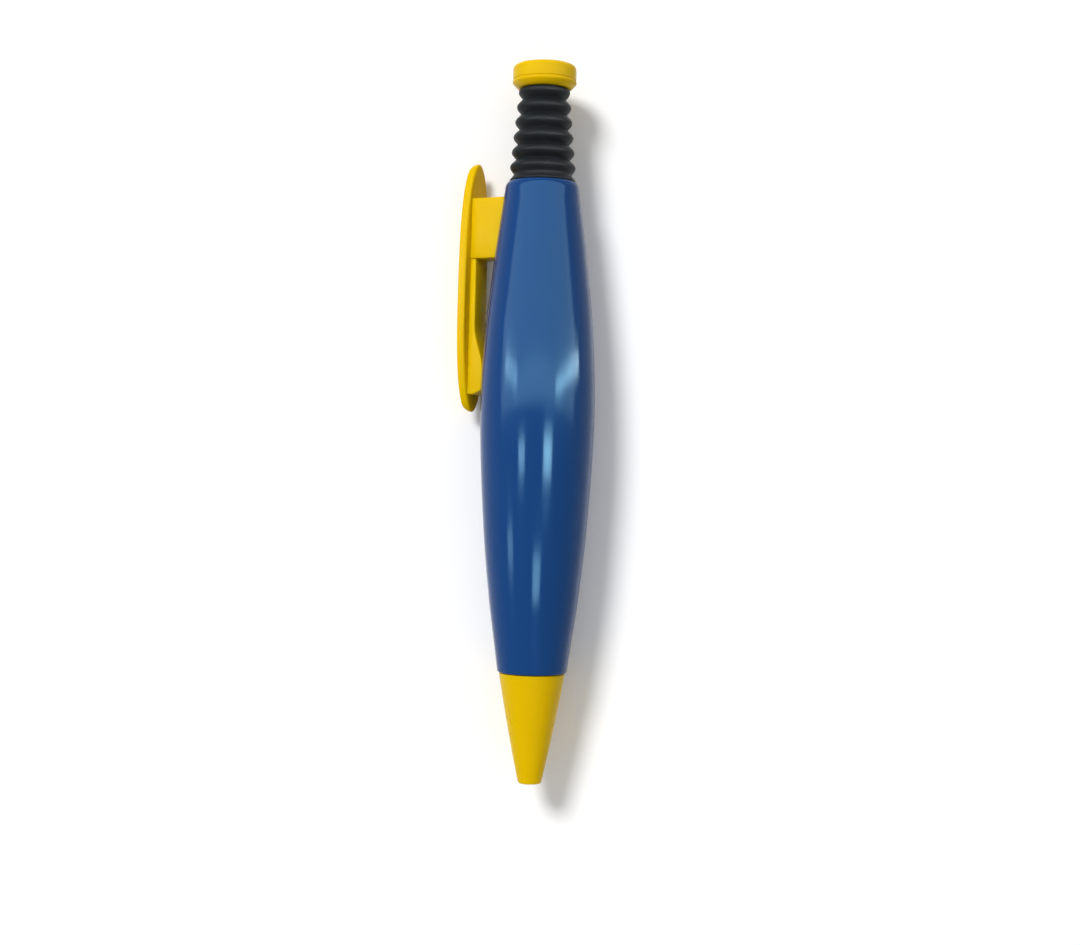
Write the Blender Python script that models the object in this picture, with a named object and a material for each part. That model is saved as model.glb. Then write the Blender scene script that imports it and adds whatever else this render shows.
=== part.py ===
"""A large push-button ballpoint pen with a ribbed rubber bellows under its button.

Sizes are in millimetres. Along the pen, a height is counted from the nose's writing end, and a
reach is a distance from the pen's axis towards the clip.
"""
import math

import bmesh
import bpy
from mathutils import Vector

mm = 0.001
round_steps = 64

# fits
seat = 0.1
slide_gap = 0.15
joint_line = 0.2
wall = 1.8
lead = 0.6

# barrel
nose_length = 22.0
barrel_length = 97.6
belly_radius = 11.45
rim_drop = 0.85
rim_width = 0.85
mouth_depth = 3.0

# the barrel's swell: where along its length and how wide, as ratios to its length and its belly
swell_ratios = [(0, 0.607), (0.056, 0.6725), (0.154, 0.786), (0.301, 0.908), (0.522, 1),
                (0.694, 0.943), (0.841, 0.812), (0.982, 0.651)]

# click mechanism
press_travel = 7.5
tooth_count = 8
tooth_height = 0.8
cam_phase = 0.25
vane_count = 4
collar_grip = 1.15
guide_wall = 0.65
slot_depth = 0.95
slot_width = 1.6
guide_flange = 1.4
guide_skirt = 6.0
past_lands = 0.95
rod_wall = 1.1
rod_rib_length = 9.8
rod_rib_margin = 1.2
cam_pin = 2.8
cam_floor = 3.7
cam_grip = 4.0

# refill
ball_radius = 0.5
ball_play = 0.04
ball_inset = 3.5
needle_wall = 0.65
needle_taper = 2.2
refill_radius = 1.5
refill_wall = 0.3
shoulder_length = 1.5
shank_length = 3.0
plug_head = 2.4
plug_stem = 2.6
ink_hole = 0.2
ear_height = 1.5
ear_width = 0.7

# return spring
wire_radius = 0.25
coil_play = 0.55
coil_turns = 11
curl_points = 10
spring_length = 26.1

# nose cone
tip_wall = 1.0
tip_edge = 0.45
nose_step = 0.35
nose_bulge = 0.15
tip_hole_length = 3.0
tube_guide_length = 6.6
shoulder_room = 0.4
spigot_length = 8.0
spigot_wall = 1.05
thread_depth = 1.6

# bellows and button
bellows_length = 18.7
bellows_ribs = 6
bellows_taper = 1.42
rib_depth_low, rib_depth_high = 1.1, 0.98
bellows_skin = 0.6
lip_height = 1.4
rib_tuck = 0.8
neck_wall = 0.8
neck_depth = 1.7
button_height = 4.7
button_overhang = 2.05
button_edge = 1.6
skirt_height = 1.1
band_height = 0.5
crease_depth = 0.25
cap_thickness = 1.6

# clip: heights counted down from the barrel's mouth, then up from the blade's free end
clip_rise = 4.6
clip_length = 50.4
clip_half_width = 4.7
fullness_ratio = 3.1
clip_stand = 5.0
clip_lean = 0.3
clip_thick = 1.8
clip_bow = 0.15
tip_drop = 0.9
tip_ratio = 0.94
blade_edge = 0.5
post_drop = 2.7
post_length = 12.2
post_half_width = 2.8
slot_drop = 4.8
slot_length = 6.6
slot_half_width = 1.6
barb = 0.65
prong_gap = 1.8
rib_half_width = 2.5
rib_height = 1.2
rib_inset = 3.5
nub_height = 8.3
nub_ramp = 9.3
nub_gap = 0.25

# heights along the pen, nose to button
barrel_front = nose_length + joint_line
barrel_mouth = barrel_front + barrel_length
button_low = barrel_mouth + bellows_length
button_top = button_low + button_height
collar_top = barrel_mouth - mouth_depth
crown_height = collar_top - 2 * rod_rib_margin - rod_rib_length
cam_top = crown_height - 2 * cam_phase * tooth_height - seat
vane_top = cam_top - slide_gap
lands_low = vane_top - press_travel + past_lands
guide_low = lands_low - guide_skirt
refill_top = cam_top - cam_floor
hole_end = tip_hole_length + lead
spring_seat = hole_end + tube_guide_length
ball_height = ball_inset + ball_radius
shoulder_height = hole_end + press_travel + shoulder_room
tube_low = shoulder_height + shoulder_length
ears_low = spring_seat + spring_length
spigot_end = barrel_front + spigot_length
clip_high = barrel_mouth + clip_rise
clip_low = clip_high - clip_length
post_high = barrel_mouth - post_drop
post_low = post_high - post_length
slot_high = post_high - slot_drop
slot_low = slot_high - slot_length
rib_low = clip_low + rib_inset
nub_top = clip_low + nub_height
nub_start = nub_top + nub_ramp

for old in list(bpy.data.objects):
    bpy.data.objects.remove(old)

root = bpy.data.objects.new("pen", None)
bpy.context.collection.objects.link(root)


def paint(thing, colour, rough, metal=0.0):
    material = bpy.data.materials.new(thing.name)
    material.use_nodes = True
    shader = material.node_tree.nodes["Principled BSDF"]
    shader.inputs["Base Color"].default_value = (*colour, 1.0)
    shader.inputs["Roughness"].default_value = rough
    shader.inputs["Metallic"].default_value = metal
    thing.data.materials.append(material)


def finish(name, bm, origin=0.0):
    """Turn a bmesh drawn in millimetres into an object whose origin is on the pen's axis."""
    bmesh.ops.translate(bm, vec=Vector((0, 0, -origin)), verts=bm.verts)
    bmesh.ops.scale(bm, vec=Vector((mm, mm, mm)), verts=bm.verts)
    bmesh.ops.recalc_face_normals(bm, faces=bm.faces)
    mesh = bpy.data.meshes.new(name)
    bm.to_mesh(mesh)
    bm.free()
    for face in mesh.polygons:
        face.use_smooth = True
    mesh.set_sharp_from_angle(angle=math.radians(35))
    thing = bpy.data.objects.new(name, mesh)
    thing.location.z = origin * mm
    thing.parent = root
    bpy.context.collection.objects.link(thing)
    return thing


def lathe(name, outline, steps=round_steps, wave=None, origin=0.0):
    """Turn an outline of (radius, height) points about the pen's axis.

    An outline that starts and ends on the axis is solid, any other is a closed ring. A third number
    in a point says how much of the wave is added to its height.
    """
    bm = bmesh.new()
    rings = []
    for point in outline:
        radius, height = point[:2]
        lift = point[2] if len(point) > 2 else 0.0
        if radius == 0:
            rings.append([bm.verts.new((0, 0, height))])
            continue
        ring = []
        for k in range(steps):
            angle = 2 * math.pi * k / steps
            rise = lift * wave(angle) if lift else 0.0
            ring.append(bm.verts.new(
                (radius * math.cos(angle), radius * math.sin(angle), height + rise)))
        rings.append(ring)
    pairs = list(zip(rings, rings[1:]))
    if len(rings[0]) > 1:
        pairs.append((rings[-1], rings[0]))
    for low, high in pairs:
        for k in range(steps):
            n = (k + 1) % steps
            corners = [low[k % len(low)], low[n % len(low)], high[n % len(high)], high[k % len(high)]]
            bm.faces.new(list(dict.fromkeys(corners)))
    return finish(name, bm, origin)


def loft(name, sections):
    """Join equal point loops one after another and close both ends."""
    bm = bmesh.new()
    loops = [[bm.verts.new(p) for p in section] for section in sections]
    for low, high in zip(loops, loops[1:]):
        for k in range(len(low)):
            n = (k + 1) % len(low)
            bm.faces.new((low[k], low[n], high[n], high[k]))
    bm.faces.new(loops[0])
    bm.faces.new(loops[-1])
    return finish(name, bm)


def slab(name, side_view, half_width):
    """Extrude a side view of (reach, height) points across the clip's width."""
    return loft(name, [[(-reach, y, height) for reach, height in side_view]
                       for y in (-half_width, half_width)])


def box(name, reach, height, half_width):
    (r0, r1), (h0, h1) = reach, height
    return slab(name, [(r0, h0), (r1, h0), (r1, h1), (r0, h1)], half_width)


def spokes(name, count, reach, height, width, slant=0.0):
    """Equal blocks round the axis, one along +X, whose upper ends may slant sideways."""
    bm = bmesh.new()
    (r0, r1), (h0, h1) = reach, height
    for k in range(count):
        angle = 2 * math.pi * k / count
        along = Vector((math.cos(angle), math.sin(angle), 0))
        across = Vector((-along.y, along.x, 0)) * width / 2
        bottom, top = [], []
        for r, side in ((r0, -1), (r1, -1), (r1, 1), (r0, 1)):
            base = along * r + across * side
            bottom.append(bm.verts.new(base + Vector((0, 0, h0))))
            top.append(bm.verts.new(base + Vector((0, 0, h1 - slant * (side + 1) / 2))))
        bm.faces.new(bottom)
        bm.faces.new(top)
        for a in range(4):
            b = (a + 1) % 4
            bm.faces.new((bottom[a], bottom[b], top[b], top[a]))
    return finish(name, bm)


def combine(target, tool, operation):
    step = target.modifiers.new(operation.lower(), "BOOLEAN")
    step.operation = operation
    step.solver = "EXACT"
    step.object = tool
    tool.display_type = "WIRE"
    tool.hide_render = True
    return target


def bake(thing):
    """Replace a piece's mesh with the result of its modifiers and drop the tools."""
    bpy.context.view_layer.update()
    tools = [step.object for step in thing.modifiers if step.type == "BOOLEAN"]
    graph = bpy.context.evaluated_depsgraph_get()
    mesh = bpy.data.meshes.new_from_object(thing.evaluated_get(graph))
    thing.modifiers.clear()
    thing.data = mesh
    for tool in tools:
        bpy.data.objects.remove(tool)
    return thing


def smooth_height(stations, s):
    """The value at s of a smooth curve through the stations."""
    last = len(stations) - 1
    i = max(k for k in range(last) if k == 0 or stations[k][0] <= s)
    (s0, r0), (s1, r1) = stations[i], stations[i + 1]

    def slope(k):
        a, b = stations[max(k - 1, 0)], stations[min(k + 1, last)]
        return (b[1] - a[1]) / (b[0] - a[0])

    span = s1 - s0
    t = (s - s0) / span
    m0, m1 = slope(i) * span, slope(i + 1) * span
    return ((2 * t**3 - 3 * t**2 + 1) * r0 + (t**3 - 2 * t**2 + t) * m0
            + (3 * t**2 - 2 * t**3) * r1 + (t**3 - t**2) * m1)


barrel_stations = [(barrel_front + part * barrel_length, share * belly_radius)
                   for part, share in swell_ratios]
front_radius = barrel_stations[0][1]
back_height, back_radius = barrel_stations[-1]


def barrel_radius(s):
    return smooth_height(barrel_stations, s)


def evenly(a, b, count):
    return [a + (b - a) * k / (count - 1) for k in range(count)]


def tooth_wave(phase):
    """Height of a ring of pointed teeth, from 0 to the tooth height, shifted by part of a tooth."""
    def wave(angle):
        turn = (angle * tooth_count / (2 * math.pi) + phase) % 1.0
        return tooth_height * (1 - abs(2 * turn - 1))
    return wave


# radii from the barrel's mouth inwards, and from the refill outwards
rim_radius = back_radius - rim_drop
mouth_bore = rim_radius - rim_width
guide_outer = mouth_bore - collar_grip
guide_slot = guide_outer - guide_wall
guide_bore = guide_slot - slot_depth
rib_reach = guide_slot - slide_gap - seat
rod_radius = guide_bore - slide_gap
rod_bore = rod_radius - rod_wall
socket_radius = front_radius - thread_depth
refill_bore = refill_radius - refill_wall
shank_radius = refill_bore - seat / 2
needle = ball_radius + needle_wall
tip_hole = needle + slide_gap
tube_bore = refill_radius + slide_gap + seat
coil_radius = refill_radius + coil_play + wire_radius
spring_room = coil_radius + wire_radius + coil_play - seat
ear_reach = coil_radius + wire_radius + slide_gap
clip_reach = belly_radius + clip_stand
clip_inner = clip_reach - clip_thick

blue = (0.035, 0.13, 0.37)
yellow = (0.84, 0.58, 0.0)
black = (0.012, 0.013, 0.014)
white = (0.75, 0.75, 0.72)
steel = (0.55, 0.55, 0.56)
brass = (0.72, 0.53, 0.24)

# the barrel's shell, with a collar for the cam guide at its back and a screw socket at its front
socket_end = spigot_end + lead
collar_low = slot_high + 2 * barb + seat
outline = [(barrel_radius(s), s) for s in evenly(barrel_front, back_height, 19)]
for k in range(1, 5):
    turn = math.pi / 2 * k / 4
    outline.append((rim_radius + rim_drop * math.cos(turn),
                    back_height + (barrel_mouth - back_height) * math.sin(turn)))
outline += [(mouth_bore, barrel_mouth), (mouth_bore, collar_top),
            (guide_outer + seat, collar_top), (guide_outer + seat, collar_low)]
outline += [(barrel_radius(s) - wall, s) for s in evenly(collar_low, socket_end + 4 * wall, 9)]
outline += [(socket_radius, socket_end), (socket_radius, barrel_front)]
barrel = lathe("barrel", outline)
combine(barrel, box("slot_cutter", (guide_outer + 2 * seat, clip_reach), (slot_low, slot_high),
                    slot_half_width), "DIFFERENCE")
bake(barrel)
paint(barrel, blue, 0.2)

# nose cone, with its screw spigot, the spring's seat and the hole for the writing tip
tip_radius = tip_hole + tip_wall
base_radius = front_radius - nose_step
outline = [(tip_hole, 0), (tip_radius - tip_edge, 0), (tip_radius - seat, tip_edge / 3)]
for s in evenly(tip_edge, nose_length, 7):
    part = s / nose_length
    outline.append((tip_radius + (base_radius - tip_radius) * part
                    + 4 * nose_bulge * part * (1 - part), s))
spigot = socket_radius - seat
room_end = (spring_seat + nose_length) / 2
outline += [(spigot, nose_length), (spigot, spigot_end), (spigot - spigot_wall, spigot_end),
            (spigot - spigot_wall, nose_length), (spring_room, room_end),
            (spring_room, spring_seat), (tube_bore, spring_seat), (tube_bore, hole_end),
            (tip_hole, tip_hole_length)]
nose = lathe("nose_cone", outline)
paint(nose, yellow, 0.22)

# clip: a full oval blade with rounded edges, a little bowed, that leans towards the barrel at its
# upper end and whose outer face falls away at both tips
middle = (clip_low + clip_high) / 2
sections = []
for k in range(21):
    t = -math.cos(math.pi * k / 20) * 0.997
    width = clip_half_width * (1 - abs(t) ** fullness_ratio) ** 0.5
    inner = clip_reach - clip_bow * t * t - clip_lean * t - clip_thick
    fall = max(0.0, (abs(t) - tip_ratio) / (1 - tip_ratio)) ** 2
    outer = inner + clip_thick - tip_drop * fall
    curve = min(blade_edge, width / 3)
    bend = curve * 0.3
    half = [(width - curve, outer), (width - bend, outer - bend), (width, outer - curve),
            (width, inner + bend), (width - bend, inner)]
    ring = [(y, reach) for y, reach in half] + [(-y, reach) for y, reach in reversed(half)]
    sections.append([(-reach, y, middle + t * clip_length / 2) for y, reach in ring])
clip = loft("clip", sections)

# the clip's inner rib swells into a nub that presses on the barrel, and its post meets the barrel
rib_crest = clip_inner - rib_height
rib_root = clip_inner + clip_thick / 2
nub = barrel_radius(nub_top) + nub_gap
side = [(rib_root, post_low + lead), (rib_root, rib_low), (rib_crest, rib_low)]
side += [(barrel_radius(s) + nub_gap, s) for s in evenly(rib_low + lead, nub_top, 3)]
for k in range(1, 4):
    blend = (1 - math.cos(math.pi * k / 4)) / 2
    side.append((nub + (rib_crest - nub) * blend, nub_top + nub_ramp * k / 4))
side += [(rib_crest, nub_start), (rib_crest, post_low + lead)]
combine(clip, slab("rib", side, rib_half_width), "UNION")
combine(clip, box("post", (mouth_bore, rib_root), (post_low, post_high), post_half_width), "UNION")
outline = [(0, post_low - wall)] + [(barrel_radius(s) + seat, s) for s in
                                    evenly(post_low - wall, back_height, 8)] + [(0, back_height)]
combine(clip, lathe("envelope", outline, 96), "DIFFERENCE")

# the post's tang goes through the barrel's slot and holds behind it with two barbs on split prongs
tang_low, tang_high = slot_low + slide_gap, slot_high - slide_gap
tang_middle = (tang_low + tang_high) / 2
low_hook = barrel_radius(slot_low) - wall - 2 * seat
high_hook = barrel_radius(slot_high + barb) - wall - 2 * seat
tang_root = clip_inner - wall
tang_end = guide_outer + 5 * seat
side = [(tang_root, tang_low), (low_hook, tang_low), (low_hook, tang_low - barb),
        (tang_end, tang_low), (tang_end, tang_high), (high_hook, tang_high + barb),
        (high_hook, tang_high), (tang_root, tang_high)]
combine(clip, slab("tang", side, slot_half_width - slide_gap), "UNION")
combine(clip, box("split", (guide_outer, barrel_radius(tang_middle) - 4 * seat),
                  (tang_middle - prong_gap / 2, tang_middle + prong_gap / 2),
                  post_half_width), "DIFFERENCE")
bake(clip)
paint(clip, yellow, 0.22)

# cam guide: a sleeve with long slots, whose inner lands end in a ring of teeth
flange_low = collar_top + seat
flange_top = flange_low + guide_flange
skirt_bore = guide_slot - seat
outline = [(guide_bore, flange_top), (mouth_bore - seat, flange_top),
           (mouth_bore - seat, flange_low), (guide_outer, flange_low), (guide_outer, guide_low),
           (skirt_bore, guide_low), (skirt_bore, lands_low, 1), (guide_bore, lands_low, 1)]
guide = lathe("cam_guide", outline, wave=tooth_wave(cam_phase))
rod_ribs_high = collar_top - rod_rib_margin
combine(guide, spokes("slot_cutters", vane_count, (rod_bore, guide_slot),
                      (lands_low - seat, rod_ribs_high + 2 * seat), slot_width), "DIFFERENCE")
bake(guide)
paint(guide, white, 0.4)

# push rod: a tube with a toothed crown and ribs that run in the guide's slots
rod_top = button_top - cap_thickness
rib_width = slot_width - 2 * slide_gap
outline = [(0, rod_top), (rod_radius, rod_top), (rod_radius, crown_height, 1),
           (rod_bore, crown_height, 1), (rod_bore, button_low), (0, button_low + rod_bore)]
rod = lathe("push_rod", outline, wave=tooth_wave(0))
combine(rod, spokes("rod_ribs", vane_count, (rod_bore + rod_wall / 2, rib_reach),
                    (crown_height + rod_rib_margin, rod_ribs_high), rib_width), "UNION")
bake(rod)
paint(rod, white, 0.4)

# rotary cam: its teeth lie a quarter tooth off the rod's, its vanes stand in the guide's slots
pin = rod_bore - slide_gap
grip = refill_radius + seat / 2
outline = [(0, cam_top + cam_pin), (pin - slide_gap, cam_top + cam_pin),
           (pin, cam_top + cam_pin - 2 * slide_gap), (pin, cam_top, 1), (rod_radius, cam_top, 1),
           (rod_radius, refill_top - cam_grip), (grip, refill_top - cam_grip),
           (grip, refill_top + seat), (0, refill_top + seat)]
cam = lathe("rotary_cam", outline, wave=tooth_wave(cam_phase))
combine(cam, spokes("vanes", vane_count, ((grip + rod_radius) / 2, rib_reach),
                    (refill_top, vane_top), rib_width, tooth_height), "UNION")
bake(cam)
paint(cam, black, 0.4)

# refill: tube with pressed ears that take the spring, plug, point holder and ball
plug_low = refill_top - plug_head
outline = [(refill_radius, tube_low + seat), (refill_radius, plug_low - seat),
           (refill_bore, plug_low - seat), (refill_bore, tube_low + seat)]
tube = lathe("refill_tube", outline, 32)
combine(tube, spokes("ears", vane_count, (refill_bore + refill_wall / 2, ear_reach),
                     (ears_low, ears_low + ear_height), ear_width), "UNION")
bake(tube)
paint(tube, steel, 0.3, 1.0)

outline = [(0, refill_top), (refill_radius - 2 * seat, refill_top),
           (refill_radius, refill_top - 3 * seat), (refill_radius, plug_low),
           (shank_radius, plug_low), (shank_radius, plug_low - plug_stem),
           (0, plug_low - plug_stem)]
paint(lathe("refill_plug", outline, 32), white, 0.45)

cup = ball_radius + ball_play
rim = ball_height - ball_radius / 2
shank_end = tube_low + shank_length
outline = [(ink_hole, shank_end), (shank_radius, shank_end), (shank_radius, tube_low),
           (refill_radius, tube_low), (refill_radius, shoulder_height + refill_wall),
           (needle, shoulder_height), (needle, ball_height + needle_taper),
           (cup + 2 * ball_play, ball_height), (cup, rim)]
for turn in (-28, 0, 30, 60):
    angle = math.radians(turn)
    outline.append((cup * math.cos(angle), ball_height + cup * math.sin(angle)))
outline.append((ink_hole, ball_height + cup))
paint(lathe("point_holder", outline, 32), brass, 0.25, 1.0)

bm = bmesh.new()
bmesh.ops.create_uvsphere(bm, u_segments=20, v_segments=12, radius=ball_radius)
bmesh.ops.translate(bm, vec=Vector((0, 0, ball_height)), verts=bm.verts)
ball = finish("writing_ball", bm, ball_height)
paint(ball, steel, 0.1, 1.0)

# return spring: one unbroken coil from the nose's seat to the refill's ears
coil_low = spring_seat + wire_radius + slide_gap
coil_high = ears_low - wire_radius - slide_gap
points = []
for k in range(coil_turns * curl_points + 1):
    angle = 2 * math.pi * k / curl_points
    points.append(Vector((coil_radius * math.cos(angle), coil_radius * math.sin(angle),
                          coil_low + (coil_high - coil_low) * k / (coil_turns * curl_points))))
least = min((a - b).length for i, a in enumerate(points) for b in points[i + curl_points // 2:])
print("return spring: least gap to itself", round(least - 2 * wire_radius, 3), "mm")
curve = bpy.data.curves.new("coil", "CURVE")
curve.dimensions = "3D"
curve.bevel_depth = wire_radius * mm
curve.bevel_resolution = 1
curve.use_fill_caps = True
line = curve.splines.new("POLY")
line.points.add(len(points) - 1)
for spot, p in zip(line.points, points):
    spot.co = (p.x * mm, p.y * mm, p.z * mm, 1)
spring = bpy.data.objects.new("return_spring", curve)
spring.parent = root
bpy.context.collection.objects.link(spring)
paint(spring, steel, 0.3, 1.0)

# bellows: ribs that shrink towards the button, a foot in the barrel's mouth and a neck in the button
lip = barrel_mouth + seat / 2
crest_low = rim_radius - seat / 2
crest_high = crest_low - bellows_taper
bore_low = crest_low - rib_depth_low - bellows_skin - seat
bore_high = crest_high - rib_depth_high - bellows_skin
neck_radius = bore_high + neck_wall
bellows_top = button_low + neck_depth
foot = mouth_bore - seat
pitch = (button_low + rib_tuck - lip - lip_height) / bellows_ribs
outline = [(foot, flange_top + seat), (foot, lip), (rim_radius, lip),
           (rim_radius, lip + lip_height / 2)]
for k in range(bellows_ribs):
    part = k / (bellows_ribs - 1)
    groove = lip + lip_height + pitch * k
    crest = crest_low - bellows_taper * part
    depth = rib_depth_low + (rib_depth_high - rib_depth_low) * part
    outline += [(crest - depth, groove), (crest, groove + pitch / 2)]
outline += [(neck_radius, button_low - seat), (neck_radius, bellows_top), (bore_high, bellows_top),
            (bore_high, button_low - neck_wall), (bore_low, lip + lip_height),
            (bore_low, flange_top + seat)]
bellows = lathe("bellows", outline, 48)
paint(bellows, black, 0.55)

# button: a round cap with a crease, a chamfered skirt, a socket for the rod and one for the bellows
button_radius = neck_radius + button_overhang
upper = button_radius - seat
band = button_low + skirt_height
crease = band + band_height
socket = rod_radius + seat / 2
boss = bore_high - seat
recess = neck_radius + seat
outline = [(0, button_top), (upper - button_edge, button_top),
           (upper - button_edge / 2, button_top - button_edge / 10),
           (upper - button_edge / 6, button_top - button_edge / 3),
           (upper, button_top - button_edge * 0.65), (upper, crease + slide_gap),
           (button_radius - crease_depth, crease), (button_radius, crease - slide_gap),
           (button_radius, band), (neck_radius + neck_wall, button_low), (recess, button_low),
           (recess, bellows_top + seat), (boss, bellows_top + seat), (boss, button_low),
           (socket, button_low), (socket, rod_top + seat), (0, rod_top + seat)]
paint(lathe("button_cap", outline), yellow, 0.22)


def lay_down():
    """Turn the pen onto its belly and the clip's lower edge, and centre it over the origin."""
    bpy.context.view_layer.update()
    graph = bpy.context.evaluated_depsgraph_get()
    spots = {}
    for thing in root.children:
        if thing.hide_render:
            continue
        shape = thing.evaluated_get(graph).to_mesh()
        spots[thing.name] = [v.co + Vector((0, 0, thing.location.z)) for v in shape.vertices]

    def drop(name, angle):
        return max(-p.x * math.sin(angle) + p.y * math.cos(angle) for p in spots[name])

    low, high = 0.0, math.radians(60)
    for _ in range(50):
        roll = (low + high) / 2
        if drop("clip", roll) < drop("barrel", roll):
            low = roll
        else:
            high = roll
    root.rotation_euler = (-math.pi / 2, -roll, 0)
    bpy.context.view_layer.update()
    turned = [root.matrix_world @ p for cloud in spots.values() for p in cloud]
    middle = [(min(p[a] for p in turned) + max(p[a] for p in turned)) / 2 for a in (0, 1)]
    root.location = (-middle[0], -middle[1], -min(p.z for p in turned))
    print("roll onto the clip:", round(math.degrees(roll), 3), "degrees")
    print("pen axis at x", round(root.location.x / mm, 4), "z", round(root.location.z / mm, 4),
          "nose end at y", round(root.location.y / mm, 4), "mm")


lay_down()
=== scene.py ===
import math
import bmesh
import bpy
from mathutils import Matrix, Vector


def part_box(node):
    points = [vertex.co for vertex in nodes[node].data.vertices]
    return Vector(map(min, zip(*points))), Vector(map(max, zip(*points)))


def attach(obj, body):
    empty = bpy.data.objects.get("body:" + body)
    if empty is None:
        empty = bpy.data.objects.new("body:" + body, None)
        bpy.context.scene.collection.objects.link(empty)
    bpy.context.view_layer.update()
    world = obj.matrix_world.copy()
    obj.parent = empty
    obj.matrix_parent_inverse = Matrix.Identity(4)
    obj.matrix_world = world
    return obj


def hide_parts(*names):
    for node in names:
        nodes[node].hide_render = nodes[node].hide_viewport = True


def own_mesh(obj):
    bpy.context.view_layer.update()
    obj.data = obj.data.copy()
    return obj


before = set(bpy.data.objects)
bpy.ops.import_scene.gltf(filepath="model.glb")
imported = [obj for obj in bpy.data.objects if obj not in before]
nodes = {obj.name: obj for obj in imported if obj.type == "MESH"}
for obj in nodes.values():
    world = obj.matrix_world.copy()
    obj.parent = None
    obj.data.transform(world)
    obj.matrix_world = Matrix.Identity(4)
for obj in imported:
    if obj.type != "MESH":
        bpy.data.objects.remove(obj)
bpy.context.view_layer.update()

scene = bpy.context.scene
print("stage: frame loaded,", len(nodes), "CAD nodes")

# the pen is drawn upright in millimetres, writing end at 0, clip towards -X, then laid down here
lie = {"rollDegrees": 26.93, "noseNode": "nose_cone", "axisNode": "writing_ball"}
axisLow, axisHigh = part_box(lie["axisNode"])
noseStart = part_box(lie["noseNode"])[0]
penPlace = (Matrix.Translation(((axisLow[0] + axisHigh[0]) / 2, noseStart[1],
                                (axisLow[2] + axisHigh[2]) / 2))
            @ Matrix.Rotation(-math.radians(lie["rollDegrees"]), 4, "Y")
            @ Matrix.Rotation(-math.pi / 2, 4, "X") @ Matrix.Scale(0.001, 4))


def penPoint(height):
    return tuple(penPlace @ Vector((0, 0, height)))


# materials

def linear(hexCode):
    values = [int(hexCode[i:i + 2], 16) / 255 for i in (1, 3, 5)]
    return tuple(v / 12.92 if v <= 0.04045 else ((v + 0.055) / 1.055) ** 2.4 for v in values) + (1,)


def addNode(tree, kind, settings=None, inputs=None, links=None):
    node = tree.nodes.new(kind)
    for key, value in (settings or {}).items():
        setattr(node, key, value)
    for key, value in (inputs or {}).items():
        node.inputs[key].default_value = value
    for key, source in (links or {}).items():
        tree.links.new(source, node.inputs[key])
    return node


def startMaterial(name, colour, inputs):
    material = bpy.data.materials.new(name)
    material.use_nodes = True
    tree = material.node_tree
    shader = tree.nodes["Principled BSDF"]
    shader.inputs["Base Color"].default_value = linear(colour)
    for key, value in inputs.items():
        shader.inputs[key].default_value = value
    place = addNode(tree, "ShaderNodeTexCoord").outputs["Object"]
    return material, tree, shader, place


# a pattern's scale is cycles per metre, so one feature every n millimetres is 1000 / n
def everyMm(size):
    return 1000 / size


# heights of the fine relief in metres
relief = {"sink": 0.0002, "grain": 0.00003, "lines": 0.00002}
# light that enters pale plastic comes out up to 2 mm away, red and green further than blue
glowReach = {"scale": 0.002, "radius": (1.0, 0.75, 0.15)}


def mouldedPlastic(name, look):
    material, tree, shader, place = startMaterial(name, look["colour"], {
        "IOR": look["ior"], "Specular IOR Level": look["shine"],
        "Specular Tint": linear(look["tint"]), "Subsurface Weight": look["glow"],
        "Subsurface Scale": glowReach["scale"], "Subsurface Radius": glowReach["radius"]})
    # handling wear: hazy patches a few millimetres wide over the polished skin
    haze = addNode(tree, "ShaderNodeTexNoise", None,
                   {"Scale": everyMm(look["hazeMm"]), "Detail": 4, "Roughness": 0.6},
                   {"Vector": place})
    rough = addNode(tree, "ShaderNodeMapRange", None,
                    {"From Min": 0.35, "From Max": 0.7, "To Min": look["roughMin"],
                     "To Max": look["roughMax"]}, {"Value": haze.outputs["Fac"]})
    tree.links.new(rough.outputs["Result"], shader.inputs["Roughness"])
    # the skin follows the shrinking plastic, so reflections wander a little
    sink = addNode(tree, "ShaderNodeTexNoise", None,
                   {"Scale": everyMm(look["sinkMm"]), "Detail": 1.5}, {"Vector": place})
    bump = addNode(tree, "ShaderNodeBump", None,
                   {"Strength": look["sink"], "Distance": relief["sink"]},
                   {"Height": sink.outputs["Fac"]})
    tree.links.new(bump.outputs["Normal"], shader.inputs["Normal"])
    return material


# ABS from a polished mould: deep even blue with sharp pale reflections, faint haze from handling
blueAbs = mouldedPlastic("blueAbs", {
    "colour": "#133E79", "ior": 1.5, "shine": 0.16, "tint": "#A4E6FF", "glow": 0.0,
    "hazeMm": 9, "roughMin": 0.1, "roughMax": 0.16, "sinkMm": 14, "sink": 0.05})
# the same plastic with a satin skin: warm yellow that light soaks into
yellowAbs = mouldedPlastic("yellowAbs", {
    "colour": "#E2BA00", "ior": 1.5, "shine": 0.08, "tint": "#FFE6A0", "glow": 0.4,
    "hazeMm": 7, "roughMin": 0.27, "roughMax": 0.36, "sinkMm": 9, "sink": 0.06})
# acetal for sliding parts: waxy white or black, no mirror
whiteAcetal = mouldedPlastic("whiteAcetal", {
    "colour": "#E4E2DA", "ior": 1.48, "shine": 0.5, "tint": "#FFFFFF", "glow": 0.2,
    "hazeMm": 4, "roughMin": 0.38, "roughMax": 0.5, "sinkMm": 5, "sink": 0.05})
blackAcetal = mouldedPlastic("blackAcetal", {
    "colour": "#1B1B1C", "ior": 1.48, "shine": 0.5, "tint": "#FFFFFF", "glow": 0.0,
    "hazeMm": 4, "roughMin": 0.35, "roughMax": 0.48, "sinkMm": 5, "sink": 0.05})


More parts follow.
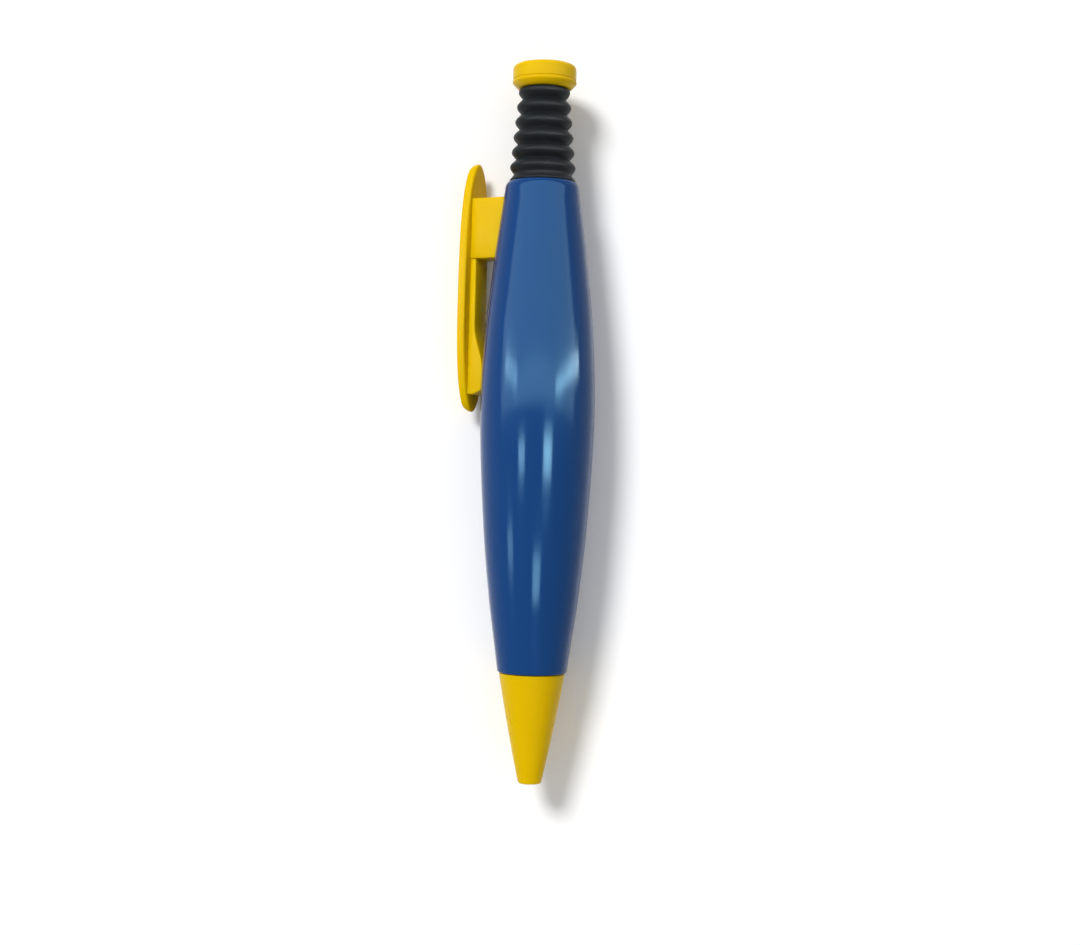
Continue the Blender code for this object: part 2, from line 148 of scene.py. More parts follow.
def mouldedRubber(name, look):
    material, tree, shader, place = startMaterial(name, look["colour"], {
        "IOR": look["ior"], "Specular IOR Level": look["shine"], "Sheen Weight": look["sheen"],
        "Sheen Roughness": look["sheenRough"], "Sheen Tint": linear(look["sheenTint"])})
    # a spark-eroded mould leaves a fine satin grain, drawn four times coarser than real to show
    grain = addNode(tree, "ShaderNodeTexNoise", None,
                    {"Scale": everyMm(look["grainMm"]), "Detail": 3}, {"Vector": place})
    bump = addNode(tree, "ShaderNodeBump", None,
                   {"Strength": look["grain"], "Distance": relief["grain"]},
                   {"Height": grain.outputs["Fac"]})
    tree.links.new(bump.outputs["Normal"], shader.inputs["Normal"])
    # worn and dusty patches
    wear = addNode(tree, "ShaderNodeTexNoise", None,
                   {"Scale": everyMm(look["wearMm"]), "Detail": 5}, {"Vector": place})
    rough = addNode(tree, "ShaderNodeMapRange", None,
                    {"From Min": 0.3, "From Max": 0.7, "To Min": look["roughMin"],
                     "To Max": look["roughMax"]}, {"Value": wear.outputs["Fac"]})
    tree.links.new(rough.outputs["Result"], shader.inputs["Roughness"])
    return material


# thermoplastic rubber: black with a soft blue-grey sheen along each fold
blackRubber = mouldedRubber("blackRubber", {
    "colour": "#111517", "ior": 1.5, "shine": 0.1, "sheen": 0.03, "sheenRough": 0.5,
    "sheenTint": "#8FA0A8", "grainMm": 0.2, "grain": 0.25, "wearMm": 3, "roughMin": 0.38,
    "roughMax": 0.52})


def workedMetal(name, look):
    material, tree, shader, place = startMaterial(name, look["colour"], {
        "Metallic": 1.0, "Roughness": look["rough"]})
    # drawing or turning lines: noise stretched along or round the pen
    turned = addNode(tree, "ShaderNodeMapping", None, {"Scale": look["stretch"]},
                     {"Vector": place})
    lines = addNode(tree, "ShaderNodeTexNoise", None,
                    {"Scale": everyMm(look["lineMm"]), "Detail": 3},
                    {"Vector": turned.outputs["Vector"]})
    bump = addNode(tree, "ShaderNodeBump", None,
                   {"Strength": look["strength"], "Distance": relief["lines"]},
                   {"Height": lines.outputs["Fac"]})
    tree.links.new(bump.outputs["Normal"], shader.inputs["Normal"])
    return material


# nickel-plated drawn tube: lines along the refill
drawnTube = workedMetal("drawnTube", {
    "colour": "#C9C9C6", "rough": 0.24, "stretch": (1, 0.04, 1), "lineMm": 0.1, "strength": 0.3})
# free-cutting brass: rings from the lathe tool
turnedBrass = workedMetal("turnedBrass", {
    "colour": "#D9B36A", "rough": 0.22, "stretch": (0.05, 1, 0.05), "lineMm": 0.06,
    "strength": 0.3})
# music wire: bright, faintly drawn
springWire = workedMetal("springWire", {
    "colour": "#B8B9BA", "rough": 0.25, "stretch": (1, 1, 1), "lineMm": 0.15, "strength": 0.1})
# ground carbide ball: polished grey
carbide = workedMetal("carbide", {
    "colour": "#9A9A9C", "rough": 0.12, "stretch": (1, 1, 1), "lineMm": 0.05, "strength": 0.03})
print("stage: materials ready")


# shaping helpers

def chain(points):
    # a bmesh that holds an outline: x is the radius, z the height along the pen
    bm = bmesh.new()
    spots = [bm.verts.new((radius, 0, height)) for radius, height in points]
    for a, b in zip(spots, spots[1:]):
        bm.edges.new((a, b))
    if points[0][0] > 0:
        bm.edges.new((spots[-1], spots[0]))
    return bm


def turnOutline(points, steps):
    bm = chain(points)
    bmesh.ops.spin(bm, geom=bm.verts[:] + bm.edges[:], cent=(0, 0, 0), axis=(0, 0, 1),
                   angle=2 * math.pi, steps=steps, use_merge=True, use_duplicate=False)
    bmesh.ops.remove_doubles(bm, verts=bm.verts[:], dist=0.0005)
    return bm


def sideSlab(points, halfWidth):
    # a side view of (reach, height) points, extruded across the clip's width
    bm = bmesh.new()
    face = bm.faces.new([bm.verts.new((-reach, -halfWidth, height)) for reach, height in points])
    grown = bmesh.ops.extrude_face_region(bm, geom=[face])["geom"]
    bmesh.ops.translate(bm, vec=(0, 2 * halfWidth, 0),
                        verts=[g for g in grown if isinstance(g, bmesh.types.BMVert)])
    bmesh.ops.recalc_face_normals(bm, faces=bm.faces[:])
    return bm


def softenEdges(bm, offset, segments, angle=40):
    sharp = [e for e in bm.edges if len(e.link_faces) == 2
             and e.calc_face_angle(0) > math.radians(angle)]
    bmesh.ops.bevel(bm, geom=sharp, offset=offset, offset_type="OFFSET", segments=segments,
                    profile=0.5, affect="EDGES", clamp_overlap=True, material=-1)
    return bm


def corner(cx, cy, radius, start, end, count):
    # an arc of outline points about (cx, cy), angles in degrees
    return [(cx + radius * math.cos(math.radians(start + (end - start) * k / count)),
             cy + radius * math.sin(math.radians(start + (end - start) * k / count)))
            for k in range(count + 1)]


def toMesh(bm, name):
    bmesh.ops.recalc_face_normals(bm, faces=bm.faces[:])
    bm.transform(penPlace)
    mesh = bpy.data.meshes.new(name)
    bm.to_mesh(mesh)
    bm.free()
    return mesh


def addPiece(bm, name, material, body=None, stands=(), sharpDegrees=35):
    mesh = toMesh(bm, name)
    mesh.shade_smooth()
    mesh.set_sharp_from_angle(angle=math.radians(sharpDegrees))
    piece = bpy.data.objects.new(name, mesh)
    scene.collection.objects.link(piece)
    mesh.materials.append(material)
    if body:
        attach(piece, body)
    if stands:
        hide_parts(*stands)
    return piece


def mixShapes(base, others):
    # puts the faces of other bmeshes into base
    for other in others:
        holder = bpy.data.meshes.new("holder")
        other.to_mesh(holder)
        other.free()
        base.from_mesh(holder)
        bpy.data.meshes.remove(holder)
    return base


def booleanWith(piece, tool, operation):
    step = piece.modifiers.new(operation.lower(), "BOOLEAN")
    step.operation = operation
    step.solver = "EXACT"
    step.object = tool
    bpy.context.view_layer.update()
    graph = bpy.context.evaluated_depsgraph_get()
    mesh = bpy.data.meshes.new_from_object(piece.evaluated_get(graph))
    piece.modifiers.clear()
    piece.data = mesh
    bpy.data.objects.remove(tool)
    return piece


def smoothCurve(stations, s):
    # a cubic through (height, radius) stations, each slope taken from its two neighbours
    last = len(stations) - 1
    i = max(k for k in range(last) if k == 0 or stations[k][0] <= s)
    (s0, r0), (s1, r1) = stations[i], stations[i + 1]

    def slope(k):
        a, b = stations[max(k - 1, 0)], stations[min(k + 1, last)]
        return (b[1] - a[1]) / (b[0] - a[0])

    span = s1 - s0
    t = (s - s0) / span
    m0, m1 = slope(i) * span, slope(i + 1) * span
    return ((2 * t**3 - 3 * t**2 + 1) * r0 + (t**3 - 2 * t**2 + t) * m0
            + (3 * t**2 - 2 * t**3) * r1 + (t**3 - t**2) * m1)


def evenly(a, b, count):
    # count values from a to b, both included
    return [a + (b - a) * k / (count - 1) for k in range(count)]


# barrel

barrelLook = {
    "stations": [(22.2, 6.935), (27.67, 7.685), (37.23, 8.985), (51.58, 10.382),
                 (73.15, 11.435), (89.93, 10.782), (104.28, 9.282), (118.04, 7.439)],
    "mouth": 119.8, "rimRadius": 6.6, "mouthBore": 5.75, "collarTop": 116.8, "collarLow": 113.7,
    "guideBore": 4.7, "wall": 1.8, "edge": 0.12, "socketRadius": 5.35, "socketEnd": 30.8,
    "slotLow": 105.7, "slotHigh": 112.3, "slotHalfWidth": 1.6, "slotFrom": 5.2, "slotTo": 12,
    "rimSteps": 8, "steps": 192}


def barrelRadius(s):
    return smoothCurve(barrelLook["stations"], s)


def makeBarrel(look):
    front, back = look["stations"][0][0], look["stations"][-1][0]
    backRadius = look["stations"][-1][1]
    outline = [(barrelRadius(front) - look["edge"], front)]
    outline += [(barrelRadius(s), s) for s in evenly(front + look["edge"], back, 64)]
    for k in range(1, look["rimSteps"] + 1):
        turn = math.pi / 2 * k / look["rimSteps"]
        outline.append((look["rimRadius"] + (backRadius - look["rimRadius"]) * math.cos(turn),
                        back + (look["mouth"] - back) * math.sin(turn)))
    outline += [(look["mouthBore"] + 0.1, look["mouth"]), (look["mouthBore"], look["mouth"] - 0.1),
                (look["mouthBore"], look["collarTop"]), (look["guideBore"], look["collarTop"]),
                (look["guideBore"], look["collarLow"])]
    outline += [(barrelRadius(s) - look["wall"], s)
                for s in evenly(look["collarLow"], look["socketEnd"] + 6, 20)]
    outline += [(look["socketRadius"], look["socketEnd"]), (look["socketRadius"], front)]
    shell = addPiece(turnOutline(outline, look["steps"]), "barrelShell", blueAbs)
    cutter = sideSlab([(look["slotFrom"], look["slotLow"]), (look["slotTo"], look["slotLow"]),
                       (look["slotTo"], look["slotHigh"]), (look["slotFrom"], look["slotHigh"])],
                      look["slotHalfWidth"])
    booleanWith(shell, addPiece(cutter, "slotCutter", blueAbs), "DIFFERENCE")
    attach(shell, "barrel")
    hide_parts("barrel")


makeBarrel(barrelLook)
print("stage: barrel turned")


# nose cone with its screw thread

noseLook = {
    "tipRadius": 2.3, "baseRadius": 6.6, "bulge": 0.15, "top": 22.0, "tipHole": 1.3,
    "holeDepth": 3.0, "tubeBore": 1.75, "springSeat": 10.2, "springRoom": 3.0,
    "spigot": 5.25, "spigotEnd": 30.2, "spigotWall": 0.65, "threadPitch": 1.0,
    "threadDepth": 0.4, "threadSteps": 60, "edge": 0.12, "tipEdge": 0.42, "steps": 144}


def makeNose(look):
    tip = look["tipEdge"]

    def coneRadius(s):
        part = s / look["top"]
        return (look["tipRadius"] + (look["baseRadius"] - look["tipRadius"]) * part
                + 4 * look["bulge"] * part * (1 - part))

    core = look["spigot"] - look["threadDepth"]
    bore = core - look["spigotWall"]
    outline = [(look["tipHole"] + 0.08, 0), (coneRadius(tip) - tip, 0)]
    outline += corner(coneRadius(tip) - tip, tip, tip, -90, 0, 7)[1:]
    outline += [(coneRadius(s), s) for s in evenly(tip + 0.5, look["top"] - look["edge"], 24)]
    outline += [(look["baseRadius"] - look["edge"], look["top"]), (core, look["top"]),
                (core, look["spigotEnd"] - 0.3), (core - 0.3, look["spigotEnd"]),
                (bore, look["spigotEnd"]), (bore, look["top"]),
                (look["springRoom"], look["springSeat"] + 4),
                (look["springRoom"], look["springSeat"]), (look["tubeBore"], look["springSeat"]),
                (look["tubeBore"], look["holeDepth"] + 0.6), (look["tipHole"], look["holeDepth"]),
                (look["tipHole"], 0.08)]
    body = turnOutline(outline, look["steps"])
    # one ridge wound round the spigot, buried a little in its core
    ridge = chain([(core - 0.1, look["top"] + 0.7), (look["spigot"] - 0.03, look["top"] + 0.92),
                   (look["spigot"] - 0.03, look["top"] + 1.08), (core - 0.1, look["top"] + 1.3)])
    turns = int((look["spigotEnd"] - look["top"] - 1.6) / look["threadPitch"])
    bmesh.ops.spin(ridge, geom=ridge.verts[:] + ridge.edges[:], cent=(0, 0, 0), axis=(0, 0, 1),
                   dvec=(0, 0, look["threadPitch"] / look["threadSteps"]),
                   angle=2 * math.pi * turns, steps=look["threadSteps"] * turns,
                   use_duplicate=False)
    bmesh.ops.holes_fill(ridge, edges=[e for e in ridge.edges if e.is_boundary], sides=0)
    mixShapes(body, [ridge])
    piece = addPiece(body, "noseCone", yellowAbs, "nose", ["nose_cone"])


makeNose(noseLook)
print("stage: nose cone turned")


# button

buttonLook = {
    "top": 143.2, "low": 138.5, "radius": 6.4, "band": 139.6, "crease": 140.1,
    "topRound": 0.95, "creaseDepth": 0.16, "neck": 4.4, "boss": 3.5, "socket": 2.9,
    "socketTop": 141.7, "bellowsTop": 140.3, "steps": 144}


def makeButton(look):
    upper = look["radius"] - 0.08
    outline = [(0, look["top"] - 0.02), (2.5, look["top"])]
    outline += list(reversed(corner(upper - look["topRound"], look["top"] - look["topRound"],
                                    look["topRound"], 0, 90, 10)))
    outline += [(upper, look["crease"] + 0.22),
                (upper - look["creaseDepth"], look["crease"] + 0.05),
                (upper - look["creaseDepth"], look["crease"] - 0.05),
                (look["radius"] - 0.04, look["crease"] - 0.2),
                (look["radius"], look["crease"] - 0.35), (look["radius"], look["band"] + 0.15),
                (look["radius"] - 0.08, look["band"] - 0.1),
                (look["neck"] + 1.05, look["low"] + 0.1),
                (look["neck"] + 0.9, look["low"]), (look["neck"] + 0.1, look["low"]),
                (look["neck"] + 0.1, look["bellowsTop"]), (look["boss"], look["bellowsTop"]),
                (look["boss"], look["low"]), (look["socket"], look["low"]),
                (look["socket"], look["socketTop"]), (0, look["socketTop"])]
    piece = addPiece(turnOutline(outline, look["steps"]), "buttonCap", yellowAbs, "plunger",
                     ["button_cap"])


makeButton(buttonLook)
print("stage: button turned")


# bellows

bellowsLook = {
    "foot": 5.65, "footLow": 118.4, "mouth": 119.85, "flange": 6.6, "flangeHigh": 120.45,
    "ribs": 6, "firstCrest": 122.77, "pitch": 3.005, "crestLow": 6.55, "crestHigh": 5.13,
    "grooveLow": 5.45, "grooveHigh": 4.15, "neck": 4.4, "neckLow": 138.4, "neckBoreLow": 138.2,
    "top": 140.2, "fold": 0.62, "perRib": 14, "footFill": 0.3, "skin": 0.75, "lining": 0.6,
    "innerShare": 0.6, "footWall": 0.85, "pressed": 7.5, "steps": 128}


def makeBellows(look):
    # one fold: a full round crest and a narrow groove, which a power under 1 gives
    outer, last = [], look["ribs"] - 1
    start = look["firstCrest"] - look["pitch"] / 2
    for k in range(look["ribs"] * look["perRib"] + 1):
        rib = k / look["perRib"]
        height = start + look["pitch"] * rib
        part = min(max((rib - 0.5) / last, 0), 1)
        crest = look["crestLow"] + (look["crestHigh"] - look["crestLow"]) * part
        groove = look["grooveLow"] + (look["grooveHigh"] - look["grooveLow"]) * part
        groove += look["footFill"] * max(0, 1 - rib * 2)
        wave = (0.5 - 0.5 * math.cos(2 * math.pi * rib)) ** look["fold"]
        outer.append((groove + (crest - groove) * wave, height))
    outer = [p for p in outer if p[1] < look["neckLow"] - 0.05]
    outline = [(look["foot"], look["footLow"]), (look["foot"], look["mouth"]),
               (look["flange"] - 0.12, look["mouth"]), (look["flange"], look["mouth"] + 0.12),
               (look["flange"], look["mouth"] + 0.32), (look["flange"] - 0.25, look["flangeHigh"])]
    outline += outer
    outline += [(look["neck"], look["neckLow"]), (look["neck"], look["top"]),
                (look["neck"] - look["skin"], look["top"]),
                (look["neck"] - look["skin"], look["neckBoreLow"])]
    # the inside follows the folds, shallower
    for radius, height in reversed(outer[2::4]):
        part = (height - start) / (look["pitch"] * look["ribs"])
        groove = look["grooveLow"] + (look["grooveHigh"] - look["grooveLow"]) * part
        outline.append((groove - look["lining"] + (radius - groove) * look["innerShare"], height))
    outline += [(look["foot"] - look["footWall"], look["mouth"]),
                (look["foot"] - look["footWall"], look["footLow"])]
    piece = addPiece(turnOutline(outline, look["steps"]), "bellowsSleeve", blackRubber, "barrel",
                     ["bellows"], 60)
    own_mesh(piece)


makeBellows(bellowsLook)
print("stage: bellows turned")


# clip

clipLook = {
    "low": 74.0, "high": 124.4, "halfWidth": 4.67, "fullness": 3.1, "reach": 16.43, "thick": 1.78,
    "bow": 0.15, "lean": 0.3, "edge": 0.5, "tipDrop": 0.9, "tipPart": 0.94, "postLow": 104.9,
    "postHigh": 117.1, "postInner": 5.75, "postHalfWidth": 2.8, "postRound": 0.22,
    "barrelEnd": 118.6, "ribHalfWidth": 2.5, "ribHeight": 1.2, "ribLow": 77.5, "ribRound": 0.25,
    "nubStart": 91.6, "nubTop": 82.3, "nubGap": 0.25, "tangLow": 105.85, "tangHigh": 112.15,
    "tangHalfWidth": 1.45, "hookGap": 0.25, "barb": 0.65, "tangEnd": 5.15,
    "ovalSteps": 96, "slices": 24, "nubSteps": 10}


def makeBlade(look):
    # a full oval plate: a disc stretched, thickened, rounded, sliced across, bowed and leaned, with
    # its outer face falling away at both tips
    bm = bmesh.new()
    bmesh.ops.create_circle(bm, cap_ends=True, segments=look["ovalSteps"], radius=1)
    for spot in bm.verts:
        if abs(spot.co.x) < 0.9999:
            spot.co.y *= ((1 - abs(spot.co.x) ** look["fullness"]) / (1 - spot.co.x ** 2)) ** 0.5
    middle, half = (look["low"] + look["high"]) / 2, (look["high"] - look["low"]) / 2 - 0.05
    bmesh.ops.scale(bm, vec=(half, look["halfWidth"], 1), verts=bm.verts[:])
    grown = bmesh.ops.extrude_face_region(bm, geom=bm.faces[:])["geom"]
    bmesh.ops.translate(bm, vec=(0, 0, look["thick"]),
                        verts=[g for g in grown if isinstance(g, bmesh.types.BMVert)])
    bmesh.ops.recalc_face_normals(bm, faces=bm.faces[:])
    softenEdges(bm, look["edge"], 5, 60)
    for k in range(1, look["slices"]):
        at = -half + 2 * half * k / look["slices"]
        bmesh.ops.bisect_plane(bm, geom=bm.verts[:] + bm.edges[:] + bm.faces[:], dist=0.0001,
                               plane_co=(at, 0, 0), plane_no=(1, 0, 0))
    for spot in bm.verts:
        along, across, depth = spot.co
        bow = look["bow"] * (along / half) ** 2 + look["lean"] * along / half
        fall = max(0, (abs(along) / half - look["tipPart"]) / (1 - look["tipPart"])) ** 2
        depth += look["tipDrop"] * fall * (1 - depth / look["thick"])
        spot.co = Vector((-(look["reach"] - bow) + depth, across, middle + along))
    bmesh.ops.recalc_face_normals(bm, faces=bm.faces[:])
    return bm


def makeClip(look):
    inner = look["reach"] - look["thick"]
    crest = inner - look["ribHeight"]
    side = [(inner + 0.9, look["postLow"] + 1), (inner + 0.9, look["ribLow"]),
            (crest, look["ribLow"])]
    side += [(barrelRadius(s) + look["nubGap"], s) for s in evenly(look["ribLow"] + 0.9,
                                                                   look["nubTop"], 5)]
    nub = barrelRadius(look["nubTop"]) + look["nubGap"]
    for k in range(1, look["nubSteps"]):
        blend = (1 - math.cos(math.pi * k / look["nubSteps"])) / 2
        side.append((nub + (crest - nub) * blend, look["nubTop"]
                     + (look["nubStart"] - look["nubTop"]) * k / look["nubSteps"]))
    side += [(crest, look["nubStart"]), (crest, look["postLow"] + 1)]
    rib = softenEdges(sideSlab(side, look["ribHalfWidth"]), look["ribRound"], 3)

    # the post is cut to sit on the barrel
    post = sideSlab([(look["postInner"], look["postLow"]), (inner + 1, look["postLow"]),
                     (inner + 1, look["postHigh"]), (look["postInner"], look["postHigh"])],
                    look["postHalfWidth"])
    softenEdges(post, look["postRound"], 3)
    postPiece = addPiece(post, "postPiece", yellowAbs)
    envelope = [(0, look["postLow"] - 3)]
    envelope += [(barrelRadius(s) + 0.1, s)
                 for s in evenly(look["postLow"] - 3, look["barrelEnd"], 16)]
    envelope += [(0, look["barrelEnd"])]
    booleanWith(postPiece, addPiece(turnOutline(envelope, barrelLook["steps"]), "envelope",
                                    yellowAbs), "DIFFERENCE")
    postShape = bmesh.new()
    postShape.from_mesh(postPiece.data)
    postShape.transform(penPlace.inverted())
    bpy.data.objects.remove(postPiece)

    # two prongs reach through the slot, each with a barb behind the barrel's wall
    wall = barrelLook["wall"]
    lowHook = barrelRadius(look["tangLow"]) - wall - look["hookGap"]
    highHook = barrelRadius(look["tangHigh"] + look["barb"]) - wall - look["hookGap"]
    tangMiddle = (look["tangLow"] + look["tangHigh"]) / 2
    prongs = []
    for end, hook, way in ((look["tangLow"], lowHook, -1), (look["tangHigh"], highHook, 1)):
        near = tangMiddle + way * 0.9
        points = [(inner - 1, near), (inner - 1, end), (hook, end),
                  (hook, end + way * look["barb"]), (look["tangEnd"], end),
                  (look["tangEnd"], near)]
        prongs.append(sideSlab(points, look["tangHalfWidth"]))

    body = makeBlade(look)
    mixShapes(body, [rib, postShape] + prongs)
    piece = addPiece(body, "clipBody", yellowAbs, "barrel", ["clip"], 30)


makeClip(clipLook)
print("stage: clip shaped")


# return spring: closed coils at both ends, open ones between

springLook = {
    "wire": 0.25, "radius": 2.3, "low": 10.6, "high": 35.9, "openTurns": 9, "endTurns": 1.5,
    "endPitch": 0.56, "seat": 10.2, "pressed": 7.5, "perTurn": 40, "wireSteps": 12}


def makeSpring(look):
    bm = bmesh.new()
    ring = bmesh.ops.create_circle(bm, cap_ends=False, segments=look["wireSteps"],
                                   radius=look["wire"])["verts"]
    bmesh.ops.rotate(bm, verts=ring, cent=(0, 0, 0), matrix=Matrix.Rotation(math.pi / 2, 3, "X"))
    bmesh.ops.translate(bm, verts=ring, vec=(look["radius"], 0, look["low"]))
    front = bm.verts[:] + bm.edges[:]
    openLength = look["high"] - look["low"] - 2 * look["endTurns"] * look["endPitch"]
    for turns, rise in ((look["endTurns"], look["endTurns"] * look["endPitch"]),
                        (look["openTurns"], openLength),
                        (look["endTurns"], look["endTurns"] * look["endPitch"])):
        steps = int(turns * look["perTurn"])
        front = bmesh.ops.spin(bm, geom=front, cent=(0, 0, 0), axis=(0, 0, 1),
                               dvec=(0, 0, rise / steps), angle=2 * math.pi * turns,
                               steps=steps, use_duplicate=False)["geom_last"]
    bmesh.ops.holes_fill(bm, edges=[e for e in bm.edges if e.is_boundary], sides=0)
    piece = addPiece(bm, "returnCoil", springWire, "nose_carrier", ["return_spring"], 60)
    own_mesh(piece)


makeSpring(springLook)
print("stage: spring wound")


# point and ball

pointLook = {"ball": 0.5, "ballHeight": 4.0, "cup": 0.54, "needle": 1.15, "shoulder": 11.5,
             "coneHigh": 6.4, "coneLow": 6.1, "lipHigh": 0.64, "lip": 0.6, "tube": 1.5,
             "tubeLow": 13.0, "shank": 1.15, "inkHole": 0.2, "steps": 64, "ballSteps": (40, 24)}


def makePoint(look):
    rim = look["ballHeight"] - look["ball"] / 2
    outline = [(look["inkHole"], look["tubeLow"] + 3), (look["shank"], look["tubeLow"] + 3),
               (look["shank"], look["tubeLow"]), (look["tube"], look["tubeLow"]),
               (look["tube"], look["shoulder"] + 0.35), (look["needle"], look["shoulder"]),
               (look["needle"], look["coneHigh"]), (look["needle"] - 0.04, look["coneLow"]),
               (look["lipHigh"], look["ballHeight"] + 0.1),
               (look["lip"], look["ballHeight"] - 0.05), (look["cup"] - 0.02, rim)]
    outline += [(look["cup"] * math.cos(math.radians(a)),
                 look["ballHeight"] + look["cup"] * math.sin(math.radians(a)))
                for a in (-28, -14, 0, 15, 30, 45, 60)]
    outline.append((look["inkHole"], look["ballHeight"] + look["cup"]))
    holder = addPiece(turnOutline(outline, look["steps"]), "pointHolder", turnedBrass, "refill",
                      ["point_holder"])
    bm = bmesh.new()
    around, upward = look["ballSteps"]
    bmesh.ops.create_uvsphere(bm, u_segments=around, v_segments=upward, radius=look["ball"])
    bmesh.ops.translate(bm, vec=(0, 0, look["ballHeight"]), verts=bm.verts[:])
    ball = addPiece(bm, "writingBall", carbide, "ball", ["writing_ball"], 80)


makePoint(pointLook)

# the inner pieces keep their CAD shape and get their finish
for nodeName, finish in (("cam_guide", whiteAcetal), ("push_rod", whiteAcetal),
                         ("rotary_cam", blackAcetal), ("refill_tube", drawnTube),
                         ("refill_plug", whiteAcetal)):
    nodes[nodeName].data.materials.clear()
    nodes[nodeName].data.materials.append(finish)
print("stage: inner pieces finished")


# floor, lamps and camera

floorLook = {"colour": "#FAFAFA", "size": 8, "lift": 0.08}


def seenDirectly(tree):
    # 1 where a camera, a mirror or glass looks, 0 where a surface only gathers light
    rays = addNode(tree, "ShaderNodeLightPath").outputs
    seen = addNode(tree, "ShaderNodeMath", {"operation": "MAXIMUM"}, None,
                   {0: rays["Is Camera Ray"], 1: rays["Is Glossy Ray"]})
    return addNode(tree, "ShaderNodeMath", {"operation": "MAXIMUM"}, None,
                   {0: seen.outputs[0], 1: rays["Is Transmission Ray"]}).outputs[0]


def makeFloor(look):
    bm = bmesh.new()
    bmesh.ops.create_grid(bm, x_segments=1, y_segments=1, size=look["size"] / 2)
    mesh = bpy.data.meshes.new("floor")
    bm.to_mesh(mesh)
    bm.free()
    floor = bpy.data.objects.new("floor", mesh)
    scene.collection.objects.link(floor)
    # white card: matte, and lifted to white where a camera, a mirror or glass looks at it
    material = bpy.data.materials.new("whiteCard")
    material.use_nodes = True
    tree = material.node_tree
    tree.nodes.clear()
    card = addNode(tree, "ShaderNodeBsdfDiffuse", None, {"Color": linear(look["colour"])})
    strength = addNode(tree, "ShaderNodeMath", {"operation": "MULTIPLY"}, {1: look["lift"]},
                       {0: seenDirectly(tree)})
    glow = addNode(tree, "ShaderNodeEmission", None, None, {"Strength": strength.outputs[0]})
    both = addNode(tree, "ShaderNodeAddShader", None, None,
                   {0: card.outputs["BSDF"], 1: glow.outputs["Emission"]})
    addNode(tree, "ShaderNodeOutputMaterial", None, None, {"Surface": both.outputs["Shader"]})
    mesh.materials.append(material)


makeFloor(floorLook)

# directions are seen from the pen, in degrees from straight up, to the right and towards the
# button; the key is a large far lamp that lights the pen and casts its one soft shadow
keyLook = {"turn": (-26, 33), "away": 1000, "angleDegrees": 16, "strength": 2.4}
# these show only in gloss: size across and along the pen in millimetres, roll in degrees in the
# lamp's own plane, and power; all stand equally far from the pen
mirroredAway = 600
mirroredLook = {
    "ceiling": {"turn": (0, 28), "size": (5200, 560), "roll": 0, "watts": 50},
    "paneLeft": {"turn": (-56, 15), "size": (290, 30), "roll": -3, "watts": 0.7},
    "paneMiddle": {"turn": (0, 8), "size": (1400, 70), "roll": 0, "watts": 1},
    "paneRight": {"turn": (62, 17), "size": (600, 28), "roll": 3, "watts": 2},
    "lampLeft": {"turn": (-29.5, -5.5), "size": (130, 40), "roll": 0, "watts": 0.45},
    "lampRight": {"turn": (22, -5), "size": (170, 50), "roll": 0, "watts": 1.3},
    "lowLeft": {"turn": (-56, -23), "size": (130, 60), "roll": 0, "watts": 0.26},
    "lowRight": {"turn": (6, -18), "size": (170, 50), "roll": 0, "watts": 0.6},
}


def addLamp(name, kind, look, rollDegrees, away):
    lamp = bpy.data.lights.new(name, kind)
    holder = bpy.data.objects.new(name, lamp)
    across, along = (math.tan(math.radians(a)) for a in look["turn"])
    back = Vector((across, along, 1)).normalized()
    side = Vector((0, 1, 0)).cross(back).normalized()
    turn = Matrix((side, back.cross(side), back)).transposed().to_4x4()
    turn = turn @ Matrix.Rotation(math.radians(rollDegrees), 4, "Z")
    holder.matrix_world = Matrix.Translation(back * away / 1000) @ turn
    holder.visible_camera = False
    scene.collection.objects.link(holder)
    return holder, lamp


def makeKey(look):
    holder, lamp = addLamp("key", "SUN", look, 0, look["away"])
    lamp.angle = math.radians(look["angleDegrees"])
    lamp.energy = look["strength"]
    holder.visible_glossy = False


def makeMirroredLamps(looks, away):
    for name, look in looks.items():
        holder, lamp = addLamp(name, "AREA", look, look["roll"], away)
        lamp.shape = "RECTANGLE"
        lamp.size, lamp.size_y = (length / 1000 for length in look["size"])
        lamp.energy = look["watts"]
        holder.visible_diffuse = False


makeKey(keyLook)
makeMirroredLamps(mirroredLook, mirroredAway)

# the room: matt surfaces get an overhead fill that fades towards the sides; camera, gloss and
# glass all see the floor's white go on; fillRise is a direction's height, 1 straight up
roomLook = {"fillLow": (0.06, 0.06, 0.06), "fillHigh": (0.68, 0.68, 0.68), "fillRise": (0.25, 1),
            "backdrop": (0.98, 0.98, 0.98)}


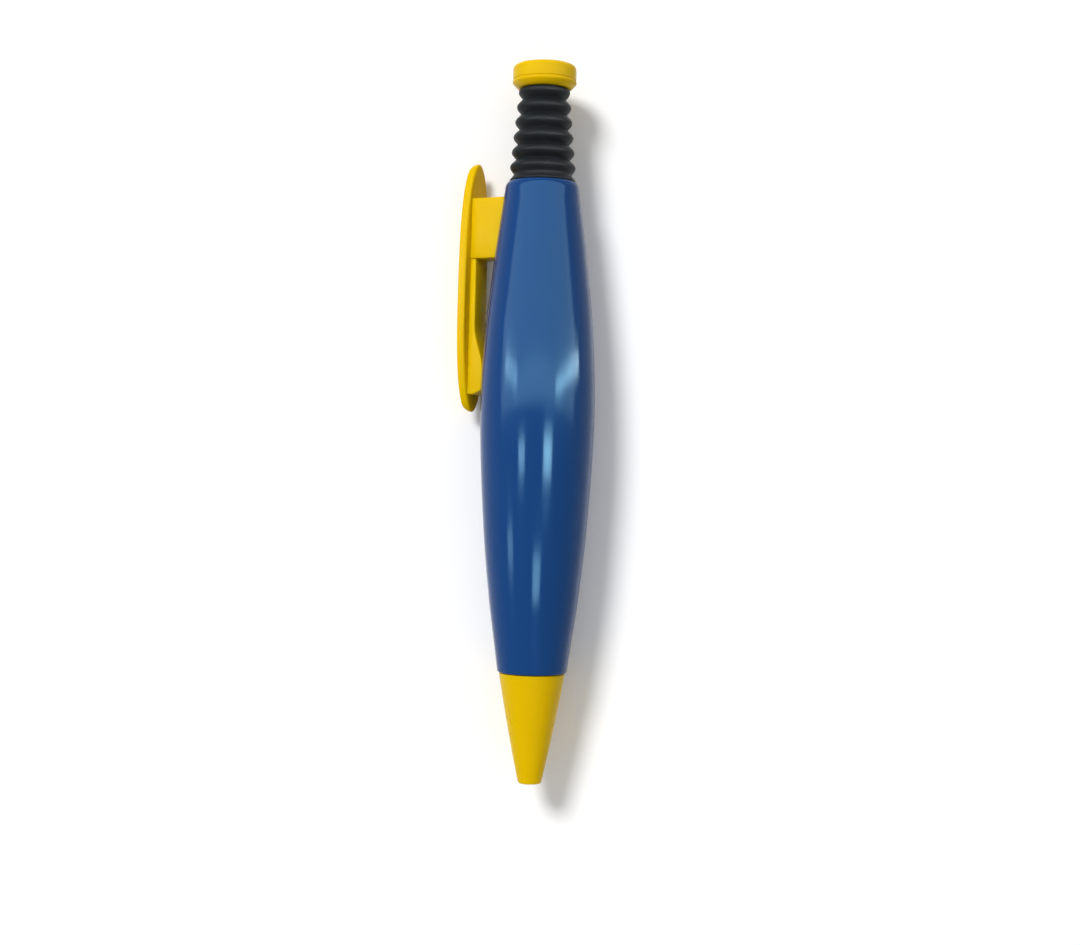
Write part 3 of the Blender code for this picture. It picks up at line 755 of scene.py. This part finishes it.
def makeRoom(look):
    world = bpy.data.worlds.new("room")
    scene.world = world
    world.use_nodes = True
    tree = world.node_tree
    place = addNode(tree, "ShaderNodeTexCoord").outputs["Generated"]
    split = addNode(tree, "ShaderNodeSeparateXYZ", None, None, {"Vector": place}).outputs
    rise = addNode(tree, "ShaderNodeMapRange", {"interpolation_type": "SMOOTHSTEP"},
                   {"From Min": look["fillRise"][0], "From Max": look["fillRise"][1]},
                   {"Value": split["Z"]})
    fill = addNode(tree, "ShaderNodeMix", {"data_type": "RGBA"},
                   {"A": (*look["fillLow"], 1), "B": (*look["fillHigh"], 1)},
                   {"Factor": rise.outputs["Result"]})
    room = addNode(tree, "ShaderNodeMix", {"data_type": "RGBA"}, {"B": (*look["backdrop"], 1)},
                   {"A": fill.outputs["Result"], "Factor": seenDirectly(tree)})
    tree.links.new(room.outputs["Result"], tree.nodes["Background"].inputs["Color"])


makeRoom(roomLook)

# the photograph looks straight down from close by on a pen that leans right; aim is in
# millimetres from the pen's axis and the middle of its length
cameraLook = {"lens": 57.6, "sensor": 36, "distance": 345, "aim": (0.76, -9.6),
              "leanDegrees": 1.25, "near": 0.01, "far": 20}


def makeCamera(look):
    camera = bpy.data.cameras.new("photoCamera")
    camera.lens = look["lens"]
    camera.sensor_width = look["sensor"]
    camera.clip_start, camera.clip_end = look["near"], look["far"]
    holder = bpy.data.objects.new("photoCamera", camera)
    scene.collection.objects.link(holder)
    axisStart = Vector(penPoint(0))
    target = Vector((axisStart.x + look["aim"][0] / 1000, look["aim"][1] / 1000, axisStart.z))
    lean = math.radians(look["leanDegrees"])
    back = Vector((0, 0, 1))
    up = Vector((-math.sin(lean), math.cos(lean), 0))
    right = up.cross(back).normalized()
    up = back.cross(right)
    turn = Matrix((right, up, back)).transposed().to_4x4()
    holder.matrix_world = Matrix.Translation(target + back * look["distance"] / 1000) @ turn
    scene.camera = holder


makeCamera(cameraLook)
scene.view_settings.view_transform = "Standard"
print("stage: lamps and camera set")
